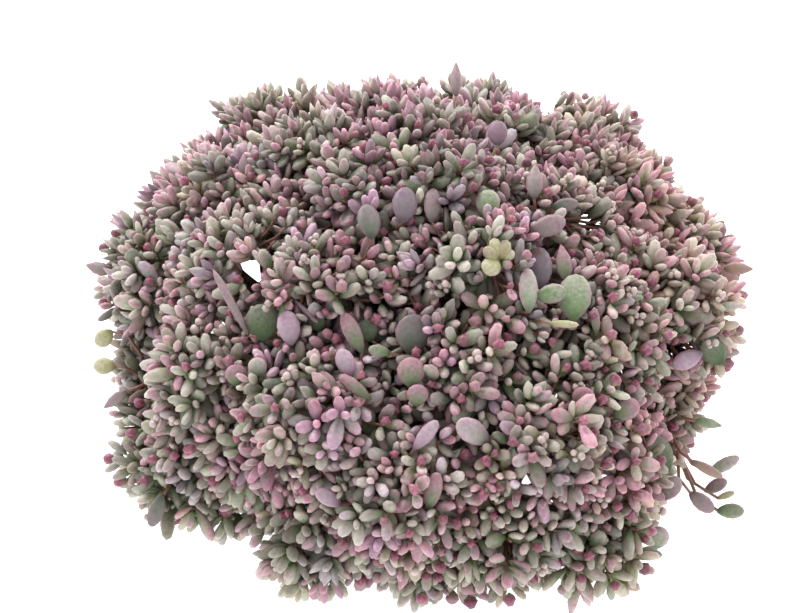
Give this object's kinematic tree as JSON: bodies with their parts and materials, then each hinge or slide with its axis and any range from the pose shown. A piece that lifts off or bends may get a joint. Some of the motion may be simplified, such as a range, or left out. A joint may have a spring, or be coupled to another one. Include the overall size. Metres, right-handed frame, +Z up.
{
  "type": "potted painted pebble sedum",
  "caption": "Low dense dome of succulent stems that end in heads of plump mauve and grey-green pebble-like leaves with small pink buds, in potting mix in a plain round nursery pot.",
  "frame": {"origin": "centre of the pot's flat underside, on the surface that the pot stands on", "axes": "+Z straight up along the pot's axis; the picture looks along +Y and down, with +X to its right"},
  "size_m": [0.3234, 0.3097, 0.2264],
  "materials": {
    "pot_plastic": "satin",
    "potting_mix": "matte",
    "leafy_stem": "matte"
  },
  "bodies": {
    "root": {"pot": "pot_plastic", "potting_mix": "potting_mix", "stem_01": "leafy_stem", "stem_02": "leafy_stem", "stem_03": "leafy_stem", "stem_04": "leafy_stem", "stem_05": "leafy_stem", "stem_06": "leafy_stem", "stem_07": "leafy_stem", "stem_08": "leafy_stem", "stem_09": "leafy_stem", "stem_10": "leafy_stem", "stem_11": "leafy_stem", "stem_12": "leafy_stem", "stem_13": "leafy_stem", "stem_14": "leafy_stem", "stem_15": "leafy_stem", "stem_16": "leafy_stem", "stem_17": "leafy_stem", "stem_18": "leafy_stem", "stem_19": "leafy_stem", "stem_20": "leafy_stem", "stem_21": "leafy_stem", "stem_22": "leafy_stem", "stem_23": "leafy_stem", "stem_24": "leafy_stem", "stem_25": "leafy_stem", "stem_26": "leafy_stem", "stem_27": "leafy_stem", "stem_28": "leafy_stem", "stem_29": "leafy_stem", "stem_30": "leafy_stem", "stem_31": "leafy_stem", "stem_32": "leafy_stem", "stem_33": "leafy_stem", "stem_34": "leafy_stem", "stem_35": "leafy_stem", "stem_36": "leafy_stem", "stem_37": "leafy_stem", "stem_38": "leafy_stem", "stem_39": "leafy_stem", "stem_40": "leafy_stem", "stem_41": "leafy_stem", "stem_42": "leafy_stem"}
  },
  "joints": []
}
